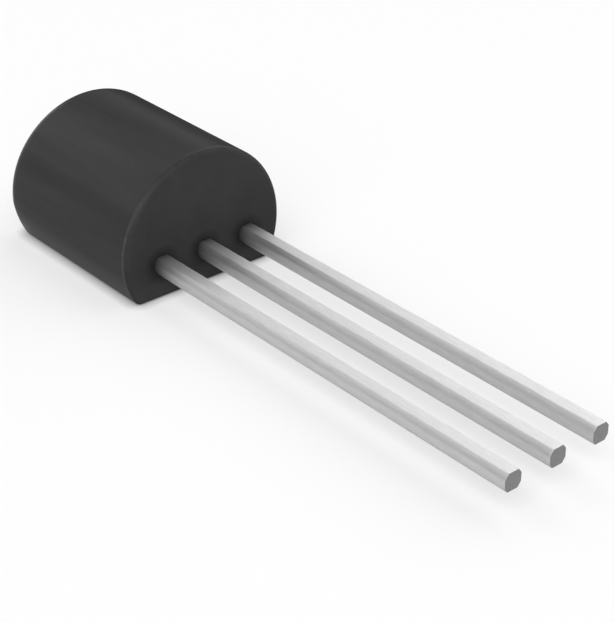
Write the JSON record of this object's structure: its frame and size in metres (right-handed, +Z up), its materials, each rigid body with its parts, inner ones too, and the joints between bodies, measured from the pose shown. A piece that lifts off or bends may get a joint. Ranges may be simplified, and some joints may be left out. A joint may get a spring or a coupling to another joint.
{
  "type": "to-92 transistor",
  "caption": "Moulded transistor package with a flat face, a round back and straight tinned leads in a row; it amplifies or switches a small current.",
  "frame": {"origin": "middle of the flat face of the body, which the part lies on", "axes": "+X along the leads towards their tips, +Z up from the flat face to the round back, +Y across the row of leads towards the emitter lead"},
  "size_m": [0.0169, 0.0046, 0.0035],
  "materials": {
    "epoxy": "satin",
    "tinned_lead": "satin",
    "silicon": "polished",
    "bond_layer": "matte",
    "gold_wire": "polished"
  },
  "bodies": {
    "root": {"body": "epoxy", "emitter_lead": "tinned_lead", "base_lead": "tinned_lead", "collector_lead": "tinned_lead", "die": "silicon", "die_attach": "bond_layer", "base_wire": "gold_wire", "emitter_wire": "gold_wire"}
  },
  "joints": []
}
